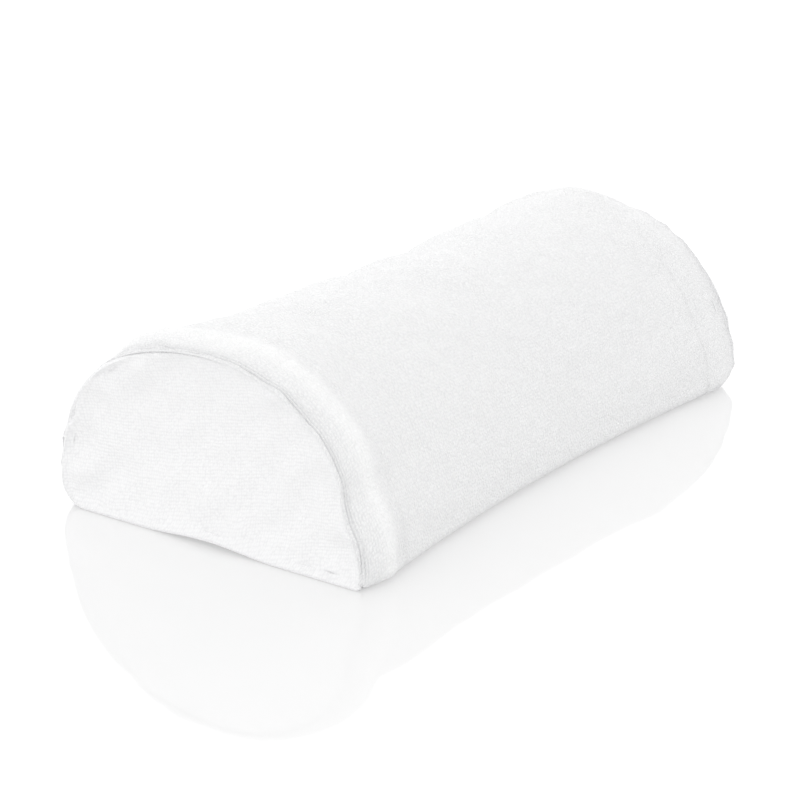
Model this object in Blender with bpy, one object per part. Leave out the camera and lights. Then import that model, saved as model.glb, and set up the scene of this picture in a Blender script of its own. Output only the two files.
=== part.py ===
"""Half-round bolster pillow for a manicure or massage table.

A foam cushion in a piped liner, inside a removable terry cover that closes with a zip underneath.
Metres, +Z up. +X runs along the bolster from its front end to its rear end. The origin is the middle of its
underside, on the surface that it rests on. Left is +Y and right is -Y.
"""

import math

import bmesh
import bpy

# Driving dimensions
LENGTH = 0.300                # over the rims of the two end seams
RIM = 0.0156                  # from the ridge over the liner's piping to the end seam
LINER_X = LENGTH / 2 - RIM    # the cushion's piped ends, under the ridges

# Sizes in the middle of the bolster, at its ridges and at its end seams. It is waisted.
HALF_WIDTH = (0.0744, 0.0824, 0.0775)
HEIGHT = (0.0845, 0.0886, 0.0807)
CORNER_RADIUS = (0.0075, 0.0088, 0.0068)   # between the base and the sides
CROWN_POWER = (1.87, 1.78, 2.19)           # exponent of the crown's superellipse; 2 is a plain ellipse
DENT = (0.0013, 0.0056, 0.0047)            # how far the sides are pressed in
DENT_Z = (0.038, 0.038, 0.030)
DENT_REACH = 0.013
CROWN_ROUND = 0.16            # rounds the top of the crown, as a share of the half-width

GAP = 0.0003                  # between pieces that lie on each other

# Terry cover
TERRY = 0.0022                # thickness of the cloth
BASE_ARCH = 0.0030            # how far the base stands off the surface along its middle
BASE_ARCH_HALF = 0.030
RIM_LIFT = 0.0009             # how far the rim's edge is lifted off the surface
RIDGE = 0.0013                # how far the piping pushes the cover out
RIDGE_REACH = 0.004
RIDGE_FADE = 0.012            # height over which the ridge fades towards the base
PANEL_X = LENGTH / 2 - 0.0021  # end panel's edge, a little behind the rim's edge
DISH = 0.007                  # depth of the end panel's hollow
SEAM_RADIUS = 0.0008          # bead of overlock thread round each end panel
SEAM_INSET = TERRY + 1.3 * (SEAM_RADIUS + GAP)   # the rim leans in over the bead

# Liner and foam
COTTON = 0.0008
PIPING_RADIUS = 0.0015
FOAM_CHAMFER = 0.0022
LINER_INSET = TERRY + GAP
FOAM_INSET = LINER_INSET + COTTON + GAP
PLATE_INSET = LINER_INSET + 2 * PIPING_RADIUS + GAP
SKIN_X = LINER_X - PIPING_RADIUS - GAP
FOAM_X = LINER_X - COTTON / 2 - GAP
CHANNEL_HALF = 0.019          # hollow that the zip presses into the cushion
CHANNEL_RAMP = 0.013
CHANNEL_RISE = 0.006

# Zip, along the middle of the base
ZIP_Z = 0.0058                # middle of the tapes
SLIT_HALF = 0.007
SLIT_HALF_LENGTH = 0.123
TAPE_HALF = 0.0003
TAPE_INNER = 0.0033
TAPE_OUTER = 0.017
TAPE_HALF_LENGTH = 0.128
COIL_HALF_LENGTH = 0.116
COIL_INNER = 0.0007
COIL_OUTER = 0.0030
COIL_HALF_HEIGHT = 0.0010
SLIDER_LENGTH = 0.011
SLIDER_HALF_WIDTH = 0.0046
NOSE_HALF_WIDTH = 0.0051
SLIDER_X = COIL_HALF_LENGTH - SLIDER_LENGTH / 2 - 0.0005
WING = 0.0010                 # thickness of the slider's plates and of its bail
BAIL_DROP = 0.0050            # from the tapes to the bail's lowest face
BAIL_HALF_LENGTH = 0.0040
BAIL_HALF_WIDTH = 0.0009
PULL_LENGTH = 0.018
PULL_HALF_WIDTH = 0.0026
PULL_HALF_THICKNESS = 0.0005
STOP_LENGTH = 0.0026
STITCH_Y = 0.012              # row of stitches that holds each tape
STITCH_HALF = 0.0004
LABEL_LENGTH = 0.025
LABEL_WIDTH = 0.0125
LABEL_THICKNESS = 0.0003
LABEL_INNER = 0.0057
LABEL_X = -0.060

# Mesh steps
CROWN_STEPS = 18
CORNER_STEPS = 4
SLOPE_STEP = 0.01             # parameter step that an outline's direction is taken over
BASE_Y = (0.0, SLIT_HALF, STITCH_Y, CHANNEL_HALF, 0.0255, CHANNEL_HALF + CHANNEL_RAMP)
PANEL_RINGS = (1.0, 0.86, 0.66, 0.36)
BODY_X = (0.0, 0.030, 0.056, 0.080, 0.098, 0.111, SLIT_HALF_LENGTH, FOAM_X - FOAM_CHAMFER)


def clear_scene():
    for obj in list(bpy.data.objects):
        bpy.data.objects.remove(obj)


def material(name, colour, roughness, metallic=0.0):
    made = bpy.data.materials.get(name)
    if made is None:
        made = bpy.data.materials.new(name)
        made.use_nodes = True
        shader = made.node_tree.nodes["Principled BSDF"]
        shader.inputs["Base Color"].default_value = (*colour, 1.0)
        shader.inputs["Roughness"].default_value = roughness
        shader.inputs["Metallic"].default_value = metallic
    return made


def terry():
    return material("terry", (0.93, 0.93, 0.94), 0.95)


def cotton():
    return material("liner_cotton", (0.90, 0.89, 0.86), 0.85)


def thread():
    return material("thread", (0.95, 0.95, 0.95), 0.6)


def foam():
    return material("foam", (0.93, 0.87, 0.68), 0.9)


def tape_cloth():
    return material("zip_tape", (0.92, 0.92, 0.93), 0.8)


def nylon():
    return material("zip_coil", (0.90, 0.90, 0.91), 0.4)


def zip_metal():
    return material("zip_metal", (0.72, 0.73, 0.75), 0.3, 1.0)


# Shape of the bolster

def rim_share(x):
    """0 up to the ridge, 1 at the rim's edge."""
    return max(0.0, (abs(x) - LINER_X) / RIM)


def size_at(sizes, x):
    """A size at x, from its values in the middle, at the ridges and at the end seams."""
    middle, ridge, seam = sizes
    inner = middle + (ridge - middle) * min(1.0, abs(x) / LINER_X) ** 2
    return inner + (seam - inner) * rim_share(x) ** 2


def ridge_at(x, z):
    """How far the piping pushes the cover out at x, at height z. It fades towards the base."""
    away = (abs(x) - LINER_X) / RIDGE_REACH
    return RIDGE * math.exp(-away * away) * min(1.0, max(0.0, z) / RIDGE_FADE)


def no_ridge(x, z):
    return 0.0


def base_arch(y):
    """How far the cover's base stands off the surface, along the zip."""
    if abs(y) >= BASE_ARCH_HALF:
        return 0.0
    return BASE_ARCH * (1 + math.cos(math.pi * y / BASE_ARCH_HALF)) / 2


def channel(y):
    """How far the cushion's base is pressed in, along the zip."""
    share = min(1.0, max(0.0, (CHANNEL_HALF + CHANNEL_RAMP - abs(y)) / CHANNEL_RAMP))
    return max(CHANNEL_RISE * share * share * (3 - 2 * share), base_arch(y))


def side_point(x, place):
    """(y, z) on the left side at x. place runs from -1 at the base, over 0 above the corner, to 1 on the crown."""
    width, corner = size_at(HALF_WIDTH, x), size_at(CORNER_RADIUS, x)
    turn = math.pi / 2 * place
    if place < 0:
        y, z = width - corner + corner * math.cos(turn), corner * (1 + math.sin(turn))
    else:
        power = size_at(CROWN_POWER, x)
        rounding = CROWN_ROUND ** power
        share = math.cos(turn) ** 2 * ((1 + CROWN_ROUND ** 2) ** (power / 2) - rounding) + rounding
        y = width * math.sqrt(max(0.0, share ** (2 / power) - CROWN_ROUND ** 2))
        z = corner + (size_at(HEIGHT, x) - corner) * math.sin(turn) ** (2 / power)
    away = (z - size_at(DENT_Z, x)) / DENT_REACH
    return y - size_at(DENT, x) * math.exp(-away * away) * (y / width) ** 2, z


def side_normal(x, place):
    """Outward direction at side_point(x, place)."""
    if abs(place) == 1:
        return 0.0, place
    (y1, z1), (y2, z2) = (side_point(x, min(1.0, place + step)) for step in (-SLOPE_STEP, SLOPE_STEP))
    length = math.hypot(y2 - y1, z2 - z1)
    return (z2 - z1) / length, (y1 - y2) / length


def half_outline(x, inset, lift, push):
    """(y, z) points on the left side at x, from the base's middle to the crown, moved in by inset.

    lift(y) raises the base, and push(x, z) moves the sides and the crown out.
    """
    points = [(y, inset + lift(y)) for y in BASE_Y]
    places = [step / CORNER_STEPS - 1 for step in range(CORNER_STEPS)]
    places += [step / CROWN_STEPS for step in range(CROWN_STEPS + 1)]
    for place in places:
        (y, z), (across, up) = side_point(x, place), side_normal(x, place)
        out = push(x, z) - inset
        points.append((y + out * across, z + out * up))
    lifted = RIM_LIFT * rim_share(x) ** 2
    return [(y, z + lifted) for y, z in points]


def outline(x, inset=0.0, lift=base_arch, push=ridge_at):
    """The closed outline across the bolster at x, which starts under the zip and goes up the left side."""
    left = half_outline(x, inset, lift, push)
    return left + [(-y, z) for y, z in reversed(left[1:-1])]


def ring(x, inset=0.0, lift=base_arch, push=ridge_at):
    return [(x, y, z) for y, z in outline(x, inset, lift, push)]


def mirrored(stations):
    """Stations from the front end to the rear end, given those from the middle to the end."""
    return sorted({-x for x in stations} | set(stations))


# Builders

def new_object(name, data, made_of):
    obj = bpy.data.objects.new(name, data)
    bpy.context.scene.collection.objects.link(obj)
    obj.data.materials.append(made_of)
    return obj


def mesh_object(name, points, faces, made_of):
    mesh = bpy.data.meshes.new(name)
    mesh.from_pydata(points, [], faces)
    work = bmesh.new()
    work.from_mesh(mesh)
    bmesh.ops.recalc_face_normals(work, faces=work.faces)
    work.to_mesh(mesh)
    work.free()
    mesh.shade_smooth()
    mesh.set_sharp_from_angle(angle=math.radians(40))
    return new_object(name, mesh, made_of)


def strip_faces(rows, count, closed=True, skip=None):
    """Quads between rows of equally many points. skip(row, point) leaves faces out."""
    faces = []
    for i in range(rows - 1):
        for j in range(count if closed else count - 1):
            if not (skip and skip(i, j)):
                k = (j + 1) % count
                faces.append((i * count + j, i * count + k, (i + 1) * count + k, (i + 1) * count + j))
    return faces


def lofted(name, rings, made_of):
    """A solid through closed rings, with a flat face at each end."""
    count = len(rings[0])
    points = [p for each in rings for p in each]
    last = len(points) - count
    ends = [tuple(range(count)), tuple(range(last, last + count))]
    return mesh_object(name, points, strip_faces(len(rings), count) + ends, made_of)


def cloth(name, outer, inner, faces, made_of):
    """A sheet with a thickness: the same faces over the outer and the inner points, joined at its edges."""
    count = len(outer)
    uses = {}
    for face in faces:
        for a, b in zip(face, face[1:] + face[:1]):
            uses.setdefault(frozenset((a, b)), []).append((a, b))
    sides = [(b, a, a + count, b + count) for (a, b), *others in uses.values() if not others]
    back = [tuple(i + count for i in reversed(face)) for face in faces]
    return mesh_object(name, outer + inner, faces + sides + back, made_of)


def cloth_tube(name, stations, insets, made_of, part=slice(None), closed=True, skip=None, **shape):
    """Cloth round the bolster, between two insets. part picks the stretch of the outline that it covers."""
    outer, inner = ([ring(x, inset, **shape)[part] for x in stations] for inset in insets)
    faces = strip_faces(len(stations), len(outer[0]), closed, skip)
    flat = [[p for each in rings for p in each] for rings in (outer, inner)]
    return cloth(name, *flat, faces, made_of)


def prism(name, outline_points, low, high, made_of, along="x"):
    """An outline pushed from low to high. Along x it holds (y, z) points, and along y (x, z) points."""
    place = (lambda a, p: (a, *p)) if along == "x" else (lambda a, p: (p[0], a, p[1]))
    return lofted(name, [[place(a, p) for p in outline_points] for a in (low, high)], made_of)


def box(name, low, high, made_of):
    corners = [(low[1], low[2]), (high[1], low[2]), (high[1], high[2]), (low[1], high[2])]
    return prism(name, corners, low[0], high[0], made_of)


def round_edges(obj, width):
    bevel = obj.modifiers.new("Rounded edges", "BEVEL")
    bevel.width = width
    bevel.segments = 2
    bevel.limit_method = "ANGLE"
    return obj


def closed_tube(name, path, radius, made_of):
    """A round cord that follows a closed path."""
    curve = bpy.data.curves.new(name, "CURVE")
    curve.dimensions = "3D"
    curve.bevel_depth = radius
    curve.bevel_resolution = 1
    spline = curve.splines.new("POLY")
    spline.points.add(len(path) - 1)
    for point, place in zip(spline.points, path):
        point.co = (*place, 1.0)
    spline.use_cyclic_u = True
    return new_object(name, curve, made_of)


def combine(obj, tool, operation):
    """Joins a tool to the object, or cuts it away. The tool itself isn't a piece."""
    change = obj.modifiers.new(operation.title(), "BOOLEAN")
    change.operation = operation
    change.object = tool
    change.solver = "EXACT"
    tool.hide_render = True
    tool.display_type = "WIRE"


# Terry cover

def cover_wrap():
    """One strip of terry round the cushion, whose two edges meet at the zip."""
    end = LENGTH / 2
    stations = mirrored(BODY_X + (LINER_X, LINER_X + 0.003, LINER_X + 0.006, LINER_X + 0.010, PANEL_X, end))
    count = len(ring(end))

    def in_slit(i, j):
        return max(abs(stations[i]), abs(stations[i + 1])) <= SLIT_HALF_LENGTH and j in (0, count - 1)

    return cloth_tube("cover_wrap", stations, (0.0, TERRY), terry(), skip=in_slit)


def cover_end(name, side):
    """A D-shaped end panel, hollow towards the cushion. side is -1 in front and 1 at the rear."""
    edge_x = side * PANEL_X
    edge = outline(edge_x, TERRY + GAP)
    centre = 0.45 * HEIGHT[2]
    points = []
    for share in PANEL_RINGS:
        x = edge_x - side * DISH * (1 - share ** 3)
        points += [(x, y * share, centre + (z - centre) * share) for y, z in edge]
    points.append((edge_x - side * DISH, 0.0, centre))
    count = len(edge)
    inmost = (len(PANEL_RINGS) - 1) * count
    faces = strip_faces(len(PANEL_RINGS), count)
    faces += [(inmost + j, inmost + (j + 1) % count, len(points) - 1) for j in range(count)]
    inner = [(x - side * TERRY, y, z) for x, y, z in points]
    return cloth(name, points, inner, faces, terry())


def end_seam(name, side):
    """The overlock thread in the corner between the rim and the end panel."""
    x = side * (PANEL_X + GAP + SEAM_RADIUS)
    return closed_tube(name, ring(x, SEAM_INSET), SEAM_RADIUS, thread())


# Cushion

def liner_wrap():
    """Cotton over the crown and the sides, from one bottom edge to the other."""
    stations = mirrored(BODY_X + (SKIN_X,))
    corner = len(BASE_Y)
    return cloth_tube("liner_wrap", stations, (LINER_INSET, LINER_INSET + COTTON), cotton(),
                      slice(corner, 1 - corner), closed=False, lift=channel, push=no_ridge)


def liner_base():
    """Cotton under the foam, pressed up along the zip."""
    stations = mirrored(BODY_X + (SKIN_X,))
    outer, inner = [], []
    for points, inset in ((outer, LINER_INSET), (inner, LINER_INSET + COTTON)):
        for x in stations:
            left = half_outline(x, inset, channel, no_ridge)[:len(BASE_Y) + 1]
            left[-1] = (left[-1][0] - GAP, left[-1][1])
            points += [(x, -y, z) for y, z in reversed(left[1:])] + [(x, y, z) for y, z in left]
    faces = strip_faces(len(stations), 2 * len(BASE_Y) + 1, closed=False)
    return cloth("liner_base", outer, inner, faces, cotton())


def liner_end(name, side):
    section = outline(LINER_X, PLATE_INSET, channel, no_ridge)
    low, high = sorted((side * (LINER_X - COTTON / 2), side * (LINER_X + COTTON / 2)))
    return prism(name, section, low, high, cotton())


def liner_piping(name, side):
    """The piped seam at the liner's end, which makes the ridge in the cover."""
    path = ring(side * LINER_X, LINER_INSET + PIPING_RADIUS, channel)
    return closed_tube(name, path, PIPING_RADIUS, cotton())


def foam_core():
    rings = []
    for x in mirrored(BODY_X + (FOAM_X,)):
        inset = PLATE_INSET + GAP if abs(x) == FOAM_X else FOAM_INSET
        rings.append(ring(x, inset, channel, no_ridge))
    return lofted("foam_core", rings, foam())


# Zip

def zip_tape(name, side):
    low, high = sorted((side * TAPE_INNER, side * TAPE_OUTER))
    return box(name, (-TAPE_HALF_LENGTH, low, ZIP_Z - TAPE_HALF),
               (TAPE_HALF_LENGTH, high, ZIP_Z + TAPE_HALF), tape_cloth())


def zip_coil(name, side):
    low, high = sorted((side * COIL_INNER, side * COIL_OUTER))
    coil = box(name, (-COIL_HALF_LENGTH, low, ZIP_Z - COIL_HALF_HEIGHT),
               (COIL_HALF_LENGTH, high, ZIP_Z + COIL_HALF_HEIGHT), nylon())
    return round_edges(coil, 0.0006)


def zip_top_stop(name, side):
    low, high = sorted((side * COIL_INNER, side * COIL_OUTER))
    x = COIL_HALF_LENGTH + GAP
    stop = box(name, (x, low, ZIP_Z - COIL_HALF_HEIGHT - GAP),
               (x + STOP_LENGTH, high, ZIP_Z + COIL_HALF_HEIGHT + GAP), zip_metal())
    return round_edges(stop, 0.0004)


def zip_bottom_stop():
    x = -COIL_HALF_LENGTH - GAP
    stop = box("zip_bottom_stop", (x - STOP_LENGTH, -COIL_OUTER, ZIP_Z - COIL_HALF_HEIGHT - GAP),
               (x, COIL_OUTER, ZIP_Z + COIL_HALF_HEIGHT + GAP), zip_metal())
    return round_edges(stop, 0.0004)


def zip_topstitch(name, side):
    """The row of stitches that shows beside the zip."""
    under = base_arch(STITCH_Y)
    y = side * STITCH_Y
    top = under - 1.5 * GAP
    return box(name, (-SLIT_HALF_LENGTH, y - STITCH_HALF, top - STITCH_HALF),
               (SLIT_HALF_LENGTH, y + STITCH_HALF, top), thread())


def zip_slider():
    """Two plates with lips round the coils, joined by a post at the nose, and a bail below them."""
    inner = COIL_HALF_HEIGHT + GAP
    outer = inner + WING
    lip = TAPE_HALF + GAP
    post = COIL_INNER - GAP
    half = SLIDER_LENGTH / 2
    rings = []
    for x, width in ((-half, SLIDER_HALF_WIDTH), (half, NOSE_HALF_WIDTH)):
        inside = width - WING
        quarter = [(width, -outer), (width, -lip), (inside, -lip), (inside, -inner), (post, -inner)]
        right = quarter + [(y, -z) for y, z in reversed(quarter)]
        rings.append([(x, y, z) for y, z in right + [(-y, z) for y, z in reversed(right)]])
    slider = lofted("zip_slider", rings, zip_metal())
    slider.location = (SLIDER_X, 0.0, ZIP_Z)

    tail_end = (-half - WING, -3 * post, -inner)
    tail = box("slider_tail_cutter", tail_end, (half / 3, 3 * post, inner), zip_metal())
    tail.parent = slider
    combine(slider, tail, "DIFFERENCE")

    foot, bridge = BAIL_HALF_LENGTH, BAIL_HALF_LENGTH - WING
    left_leg = [(-bridge, -BAIL_DROP + WING), (-bridge, -outer + GAP), (-foot, -outer + GAP),
                (-foot, -BAIL_DROP + WING), (-bridge, -BAIL_DROP)]
    bail_outline = left_leg + [(-x, z) for x, z in reversed(left_leg)]
    bail = prism("slider_bail_tool", bail_outline, -BAIL_HALF_WIDTH, BAIL_HALF_WIDTH, zip_metal(), along="y")
    bail.parent = slider
    combine(slider, bail, "UNION")
    return slider


def zip_pull_tab():
    """A flat tab whose eye hangs on the slider's bail. Its origin is the bar that turns in the bail."""
    wing_face = COIL_HALF_HEIGHT + GAP + WING
    pivot_z = ZIP_Z - (wing_face + BAIL_DROP - WING) / 2
    bar = PULL_HALF_THICKNESS
    eye = BAIL_HALF_LENGTH + 0.0013
    eye_half = BAIL_HALF_WIDTH + 0.0005
    grip = 0.0019
    round_x = -PULL_LENGTH + grip
    outer = [(bar, -PULL_HALF_WIDTH), (bar, PULL_HALF_WIDTH), (-eye, PULL_HALF_WIDTH), (-eye - 0.002, grip)]
    for step in range(9):
        turn = math.pi / 2 + math.pi * step / 8
        outer.append((round_x + grip * math.cos(turn), grip * math.sin(turn)))
    outer += [(-eye - 0.002, -grip), (-eye, -PULL_HALF_WIDTH)]
    hole = [(-bar, -eye_half), (-bar, eye_half), (-eye, eye_half), (-eye, -eye_half)]
    curve = bpy.data.curves.new("zip_pull_tab", "CURVE")
    curve.dimensions = "2D"
    curve.fill_mode = "BOTH"
    curve.extrude = PULL_HALF_THICKNESS
    for loop in (outer, hole):
        spline = curve.splines.new("POLY")
        spline.points.add(len(loop) - 1)
        for point, (x, y) in zip(spline.points, loop):
            point.co = (x, y, 0.0, 1.0)
        spline.use_cyclic_u = True
    tab = new_object("zip_pull_tab", curve, zip_metal())
    tab.location = (SLIDER_X, 0.0, pivot_z)
    return tab


def care_label():
    """A blank label, sewn in with the left tape and lying inside the cover."""
    low = ZIP_Z + TAPE_HALF + GAP
    return box("care_label", (LABEL_X - LABEL_LENGTH / 2, LABEL_INNER, low),
               (LABEL_X + LABEL_LENGTH / 2, LABEL_INNER + LABEL_WIDTH, low + LABEL_THICKNESS), cotton())


def main():
    clear_scene()
    cover_wrap()
    liner_wrap()
    liner_base()
    foam_core()
    for name, side in (("front", -1), ("rear", 1)):
        cover_end(f"cover_end_{name}", side)
        end_seam(f"end_seam_{name}", side)
        liner_end(f"liner_end_{name}", side)
        liner_piping(f"liner_piping_{name}", side)
    for name, side in (("left", 1), ("right", -1)):
        zip_tape(f"zip_tape_{name}", side)
        zip_coil(f"zip_coil_{name}", side)
        zip_top_stop(f"zip_top_stop_{name}", side)
        zip_topstitch(f"zip_topstitch_{name}", side)
    zip_bottom_stop()
    zip_slider()
    zip_pull_tab()
    care_label()


main()
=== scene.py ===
"""The looks of the half-round bolster pillow: terry cover, end seams, zip, and what is inside."""

import math

import bpy
import numpy as np
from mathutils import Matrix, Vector


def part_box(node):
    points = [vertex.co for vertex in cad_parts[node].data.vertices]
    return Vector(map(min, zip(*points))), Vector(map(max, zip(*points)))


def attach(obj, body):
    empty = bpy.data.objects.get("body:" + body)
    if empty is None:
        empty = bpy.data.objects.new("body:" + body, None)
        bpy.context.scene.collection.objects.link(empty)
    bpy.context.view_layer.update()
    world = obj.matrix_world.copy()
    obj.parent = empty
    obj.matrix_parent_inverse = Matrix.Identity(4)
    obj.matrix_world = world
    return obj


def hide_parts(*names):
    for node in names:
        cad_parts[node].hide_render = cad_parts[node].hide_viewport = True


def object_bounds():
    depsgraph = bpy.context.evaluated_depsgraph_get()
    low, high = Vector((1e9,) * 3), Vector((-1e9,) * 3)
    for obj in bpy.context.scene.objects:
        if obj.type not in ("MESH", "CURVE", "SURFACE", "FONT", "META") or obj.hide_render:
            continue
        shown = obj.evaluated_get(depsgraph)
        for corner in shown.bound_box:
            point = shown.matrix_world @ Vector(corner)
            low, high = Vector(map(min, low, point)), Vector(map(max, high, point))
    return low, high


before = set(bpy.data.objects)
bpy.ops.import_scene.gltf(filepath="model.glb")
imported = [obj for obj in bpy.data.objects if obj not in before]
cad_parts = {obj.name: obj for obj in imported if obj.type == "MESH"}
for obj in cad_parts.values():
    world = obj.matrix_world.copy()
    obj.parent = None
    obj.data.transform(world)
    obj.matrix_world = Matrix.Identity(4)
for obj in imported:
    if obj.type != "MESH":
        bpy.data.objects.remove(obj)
CAD_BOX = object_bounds()

BODY = "bolster"

# The cover's shape, from the CAD cover. Metres, with x along the bolster and z up.
WRAP = np.array([v.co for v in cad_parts["cover_wrap"].data.vertices])
SLIT_HALF_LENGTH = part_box("zip_topstitch_left")[1].x
END_X = WRAP[:, 0].max()
RIDGE_X = float(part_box("liner_piping_rear")[0].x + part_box("liner_piping_rear")[1].x) / 2
RIM = END_X - RIDGE_X
RIM_START = RIDGE_X - 0.006   # the mesh is finer from here to the end seam


def cad_section(x):
    """(half-width, height) of the CAD cover at the station nearest to x."""
    nearest = WRAP[np.argmin(np.abs(WRAP[:, 0] - x)), 0]
    ring = WRAP[np.abs(WRAP[:, 0] - nearest) < 1e-4]
    return ring[:, 1].max(), ring[:, 2].max()


# Each of these runs from the middle to the ridge near an end, and on to the end seam.
HALF_WIDTH = {"front": cad_section(0.0)[0] * np.array([1, 1.108, 1.052]),
              "rear": cad_section(0.0)[0] * np.array([1, 1.108, 1.070])}
HEIGHT = cad_section(0.0)[1] * np.array([1, 1.049, 0.969])
POWER = {"front": (1.87, 1.78, 2.19), "rear": (1.87, 1.78, 1.95)}   # of the crown's superellipse
# How far the flanks are pressed in
DENT = {("front", "left"): (0.0013, 0.0005, 0.0015), ("front", "right"): (0.0013, 0.0056, 0.0047),
        ("rear", "left"): (0.0013, 0.0005, 0.0010), ("rear", "right"): (0.0013, 0.0040, 0.0012)}
DENT_Z = (0.038, 0.038, 0.030)
DENT_REACH = 0.013
LEFT_EXTRA = (0.0005, 0.0022, 0.0012)     # the left flank is fuller than the right
ARCH = (0.0030, 0.0030, 0.0019)           # how far the base curves up off the floor
ARCH_HALF = (0.030, 0.030, 0.036)
# Radius between the flanks and the base
CORNER = {("front", "left"): (0.0068, 0.0095, 0.0130), ("front", "right"): (0.0068, 0.0068, 0.0042),
          ("rear", "left"): (0.0068, 0.0068, 0.0080), ("rear", "right"): (0.0068, 0.0080, 0.0130)}
DROOP = 0.0034                            # the front end's crown sags by this at its ridge,
DROOP_FULLER = 0.40                       # with fuller shoulders,
DROOP_X = 0.138
DROOP_REACH = 0.015
CROWN_ROUND = 0.16                        # rounds the crown, as a share of the half-width

RIM_LIFT = 0.0002
RIDGE = {"front": 0.0015, "rear": 0.0003}
RIDGE_REACH = 0.0042
RIDGE_FADE = 0.006
HIGHLIGHT_SHIFT = 0.0022          # the painted highlight along the ridge is centred this far out from its top
FOLD = 0.0007                 # radius of the cloth's folded edges
FOLD_RUN = 0.005              # how far the cloth runs on inside
FOLD_STEPS = 8
TUCK = 0.0030                 # how far back the seam is where the end panel rolls over the edge
SLIT_HALF = 0.0070
SLIT_END = 0.0020

AROUND = 352                  # mesh steps round the cover
CROWN_POINTS, BEND_POINTS, BASE_POINTS = 260, 29, 89   # of one side of an outline


# Numbers

def ripples(points, wavelength, seed, waves=16):
    """A smooth random field of about unit size over an array of points."""
    draw = np.random.default_rng(seed)
    total = np.zeros(points.shape[:-1])
    for _ in range(waves):
        way = draw.normal(size=points.shape[-1])
        way *= math.tau / (np.linalg.norm(way) * wavelength * draw.uniform(0.7, 1.4))
        total += np.cos(points @ way + draw.uniform(0, math.tau))
    return total / math.sqrt(waves / 2)


def smooth(low, high, value):
    share = np.clip((value - low) / (high - low), 0, 1)
    return share * share * (3 - 2 * share)


# Shape of the cover

def rim_share(x):
    return np.clip((np.abs(x) - RIDGE_X) / RIM, 0, 1)


def along(values, x):
    """A size at x, from its values at the middle, the ridges and the end seams."""
    middle, ridge, seam = values
    to_ridge = np.clip(np.abs(x) / RIDGE_X, 0, 1) ** 2
    inner = middle + (ridge - middle) * to_ridge
    return inner + (seam - inner) * rim_share(x) ** 2


def half_outline(x, edge, side):
    """Closely spaced (y, z) points at x, from the crown down one side and along the base to y = edge."""
    end = "front" if x < 0 else "rear"
    sag = math.exp(-((x + DROOP_X) / DROOP_REACH) ** 2) * (1 - rim_share(x) ** 2)
    n, height = along(POWER[end], x) + DROOP_FULLER * sag, along(HEIGHT, x) - DROOP * sag
    half_width, corner = along(HALF_WIDTH[end], x), along(CORNER[end, side], x)
    if side == "left":
        half_width += along(LEFT_EXTRA, x)
    turn = np.linspace(math.pi / 2, 0, CROWN_POINTS)
    rounding = CROWN_ROUND ** n
    share = np.cos(turn) ** 2 * ((1 + CROWN_ROUND ** 2) ** (n / 2) - rounding) + rounding
    across = half_width * np.sqrt((share ** (2 / n) - CROWN_ROUND ** 2).clip(0))
    crown = np.stack([across, corner + (height - corner) * np.sin(turn).clip(0) ** (2 / n)], 1)
    turn = np.linspace(0, -math.pi / 2, BEND_POINTS + 1)[1:]
    bend = np.stack([half_width - corner + corner * np.cos(turn), corner + corner * np.sin(turn)], 1)
    y = np.linspace(half_width - corner, edge, BASE_POINTS + 1)[1:]
    near = np.clip(y / along(ARCH_HALF, x), 0, 1)
    base = np.stack([y, along(ARCH, x) * (1 + np.cos(math.pi * near)) / 2], 1)
    points = np.concatenate([crown, bend, base])
    pressed = np.exp(-((points[:, 1] - along(DENT_Z, x)) / DENT_REACH) ** 2)
    points[:, 0] -= along(DENT[end, side], x) * pressed * (points[:, 0] / half_width) ** 2
    points[:, 1] += RIM_LIFT * rim_share(x) ** 2
    return points


def evenly(points, count):
    """The points resampled at even steps along their line. Columns after the second are carried along."""
    steps = np.concatenate([[0], np.cumsum(np.linalg.norm(np.diff(points[:, :2], axis=0), axis=1))])
    at = np.linspace(0, steps[-1], count)
    return np.stack([np.interp(at, steps, points[:, k]) for k in range(points.shape[1])], 1)


def slit_edge(x):
    """How far from the middle line the cover's edges are, at x."""
    return SLIT_HALF * (1 - smooth(SLIT_HALF_LENGTH - SLIT_END, SLIT_HALF_LENGTH + SLIT_END, np.abs(x)))


def full_outline(x, half_count, edge):
    """Points at x from the left edge at the zip over the crown to the right edge."""
    left = evenly(half_outline(x, edge, "left"), half_count + 1)
    right = evenly(half_outline(x, edge, "right"), half_count + 1) * (-1, 1)
    return np.concatenate([left[::-1], right[1:]])


def in_plane_normals(outline):
    """Outward normals of one or more outlines in their own planes."""
    ahead = np.gradient(outline, axis=-2)
    out = np.stack([ahead[..., 1], -ahead[..., 0]], -1)
    out /= np.linalg.norm(out, axis=-1)[..., None] + 1e-12
    return out if out[..., out.shape[-2] // 2, 1].mean() > 0 else -out


def rolled(outline):
    """1 where the end panel rolls over the edge and hides the seam, 0 where the wrap's lip shows."""
    y, z = outline[..., 0], outline[..., 1]
    left = smooth(0.082, 0.064, z)
    right = np.maximum(smooth(0.0036, 0.0008, z), smooth(0.073, 0.065, -y) * (z < 0.010))
    return np.where(y > 0, left, right)


def ridge_at(x, z, shift=0.0):
    away = (np.abs(x) - RIDGE_X - shift) / RIDGE_REACH
    high = np.where(x < 0, RIDGE["front"], RIDGE["rear"])
    return high * np.exp(-away * away) * np.clip(z / RIDGE_FADE, 0, 1)


# Meshes

def grid_faces(rows, columns, closed=False):
    index = np.arange(rows * columns).reshape(rows, columns)
    if closed:
        index = np.concatenate([index, index[:, :1]], 1)
    corners = (index[:-1, :-1], index[:-1, 1:], index[1:, 1:], index[1:, :-1])
    return np.stack([c.ravel() for c in corners], 1)


def grid_normals(points):
    normals = np.cross(np.gradient(points, axis=0), np.gradient(points, axis=1))
    return normals / (np.linalg.norm(normals, axis=2)[..., None] + 1e-15)


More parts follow.
